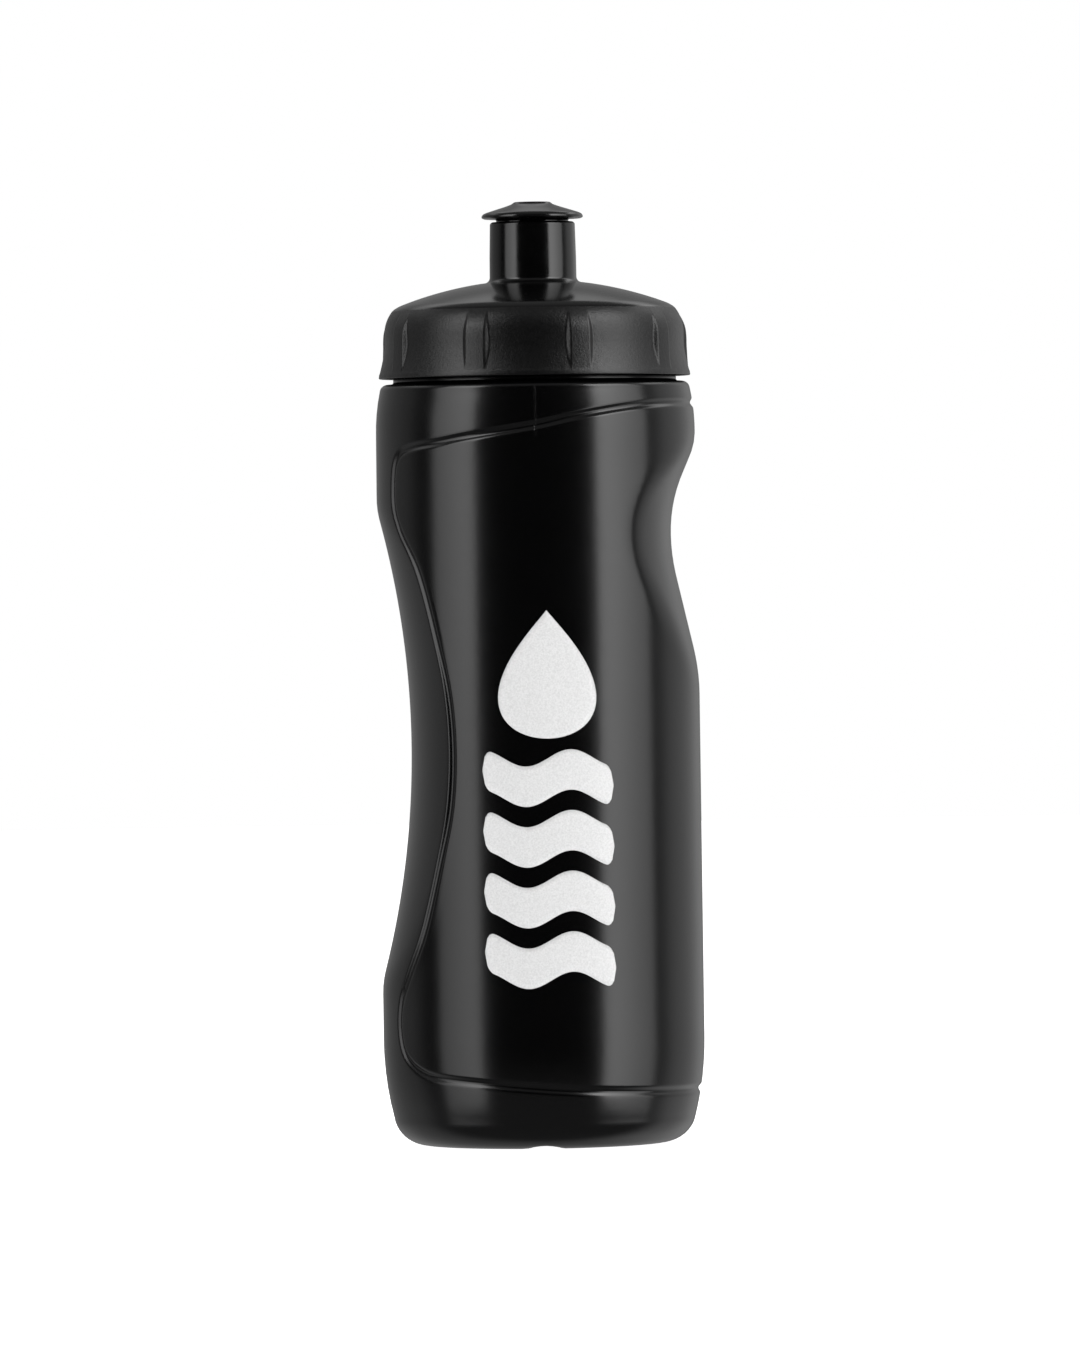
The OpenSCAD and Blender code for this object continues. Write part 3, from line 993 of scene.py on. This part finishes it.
class BuildMouthpiece(bpy.types.Operator):
    """Builds the push-pull mouthpiece"""

    bl_idname = "squeeze_bottle.mouthpiece"
    bl_label = "Mouthpiece"

    def execute(self, context):
        settings = context.scene.mouthpiece_settings
        top, low = SPOUT_TOP, SPOUT_FOOT
        flange, stem = settings.flange_radius / MM, settings.stem_radius / MM
        # From the drinking hole over the cone and the flange, down the stem to its bead, and back inside.
        outline = rounded(
            [(3.45, top - 2.4), (3.45, top), (4.1, top), (4.7, top - 0.5), (6.2, top - 1.05), (8, top - 1.6),
             (10.7, top - 2.45), (11.4, top - 2.8), (flange, top - 3.25), (flange, top - 3.6),
             (flange - 0.5, top - 3.9), (stem + 0.3, top - 3.9), (stem, top - 4.3),
             (stem, 204.4), (8.75, 203.7), (8.75, 202.7), (stem, low), (7.3, low), (6.9, low + 0.4),
             (6.9, top - 4.2), (3.75, top - 2.6)], 0.3, 4)
        spout = turned(outline, 112, closed=True)
        skin = gloss_plastic(settings.colour, "mouthpiece_plastic")
        piece("push_pull_mouthpiece", spout, skin, "spout", "mouthpiece", "mouthpiece")
        return {"FINISHED"}


class DressSeal(bpy.types.Operator):
    """Gives the seal ring in the cap its rubber"""

    bl_idname = "squeeze_bottle.seal"
    bl_label = "Seal ring"

    def execute(self, context):
        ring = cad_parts["seal_ring"]
        ring.data.materials.clear()
        ring.data.materials.append(soft_rubber())
        return {"FINISHED"}


class SetStage(bpy.types.Operator):
    """Sets the floor, the room, the two softboxes, the front fill and the camera"""

    bl_idname = "squeeze_bottle.stage"
    bl_label = "Stage"

    def execute(self, context):
        scene = context.scene
        settings = scene.stage_settings
        lay_floor()
        light_room(scene)
        for name, azimuth, width, share, outer, low in SOFTBOXES:
            hang_softbox(name, azimuth, width, settings.light * share, outer, low)
        hang_front_fill(scene, settings.fill_power)
        place_camera(scene, settings)
        scene.view_settings.view_transform = "Standard"
        return {"FINISHED"}


class BottlePanel(bpy.types.Panel):
    """The bottle's sizes, colours and makers"""

    bl_idname = "VIEW3D_PT_squeeze_bottle"
    bl_label = "Sports squeeze bottle"
    bl_space_type = "VIEW_3D"
    bl_region_type = "UI"
    bl_category = "Bottle"

    def draw(self, context):
        for group, operators in PANEL_ROWS:
            box = self.layout.box()
            settings = getattr(context.scene, group)
            for name in settings.__annotations__:
                box.prop(settings, name)
            for operator in operators:
                box.operator(operator.bl_idname)


PANEL_ROWS = (
    ("bottle_settings", (BuildBottle, BuildPrint)),
    ("cap_settings", (BuildCap, DressSeal)),
    ("mouthpiece_settings", (BuildMouthpiece,)),
    ("stage_settings", (SetStage,)),
)
GROUPS = {
    "bottle_settings": BottleSettings,
    "cap_settings": CapSettings,
    "mouthpiece_settings": MouthpieceSettings,
    "stage_settings": StageSettings,
}
CLASSES = (
    *GROUPS.values(), BuildBottle, BuildPrint, BuildCap, BuildMouthpiece, DressSeal, SetStage, BottlePanel)


def register():
    for cls in CLASSES:
        bpy.utils.register_class(cls)
    for name, group in GROUPS.items():
        setattr(bpy.types.Scene, name, PointerProperty(type=group))


def unregister():
    for name in GROUPS:
        delattr(bpy.types.Scene, name)
    for cls in reversed(CLASSES):
        bpy.utils.unregister_class(cls)


def main():
    register()
    bpy.ops.squeeze_bottle.stage()
    bpy.ops.squeeze_bottle.bottle()
    bpy.ops.squeeze_bottle.print()
    bpy.ops.squeeze_bottle.cap()
    bpy.ops.squeeze_bottle.mouthpiece()
    bpy.ops.squeeze_bottle.seal()


if __name__ == "__main__":
    main()
